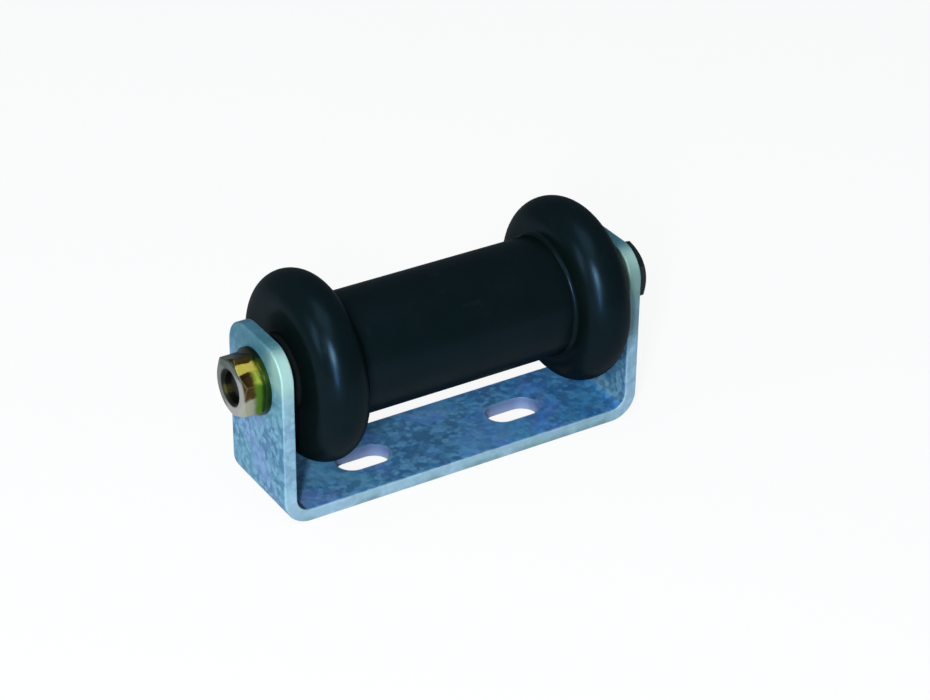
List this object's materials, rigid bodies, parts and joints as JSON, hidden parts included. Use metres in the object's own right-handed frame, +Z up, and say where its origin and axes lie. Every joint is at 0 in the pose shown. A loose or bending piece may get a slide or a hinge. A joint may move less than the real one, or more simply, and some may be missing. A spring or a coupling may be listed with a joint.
{
  "type": "boat trailer keel roller",
  "caption": "Rubber keel roller with a straight barrel between round beads, turning on a bolted axle between the ears of a folded galvanised bracket with fixing slots.",
  "frame": {"origin": "middle of the bracket's flat underside", "axes": "+X along the axle towards the bolt head, +Y across the bracket, +Z up from the base to the roller"},
  "size_m": [0.1705, 0.071, 0.087],
  "materials": {
    "galvanised_steel": "hot-dip galvanised, pale blue-grey with soft mottled spangle",
    "black_rubber": "moulded black rubber with a satin sheen",
    "nylon": "black nylon, moulded, satin",
    "zinc_plated_steel": "bright zinc plated, turned",
    "dark_steel": "dark self-coloured steel, satin",
    "yellow_zinc_steel": "yellow passivated zinc, gold with green tints"
  },
  "bodies": {
    "bracket_body": {"bracket": "galvanised_steel", "axle_tube": "zinc_plated_steel", "left_thrust_washer": "zinc_plated_steel", "right_thrust_washer": "zinc_plated_steel", "axle_bolt": "dark_steel", "head_washer": "dark_steel", "flange_nut": "yellow_zinc_steel"},
    "roller_body": {"roller": "black_rubber", "left_bush": "nylon", "right_bush": "nylon"}
  },
  "joints": [
    {"name": "roller_spin", "type": "hinge", "parent": "bracket_body", "child": "roller_body", "pos_m": [0, 0, 0.0515], "axis": [1, 0, 0], "continuous": true}
  ]
}
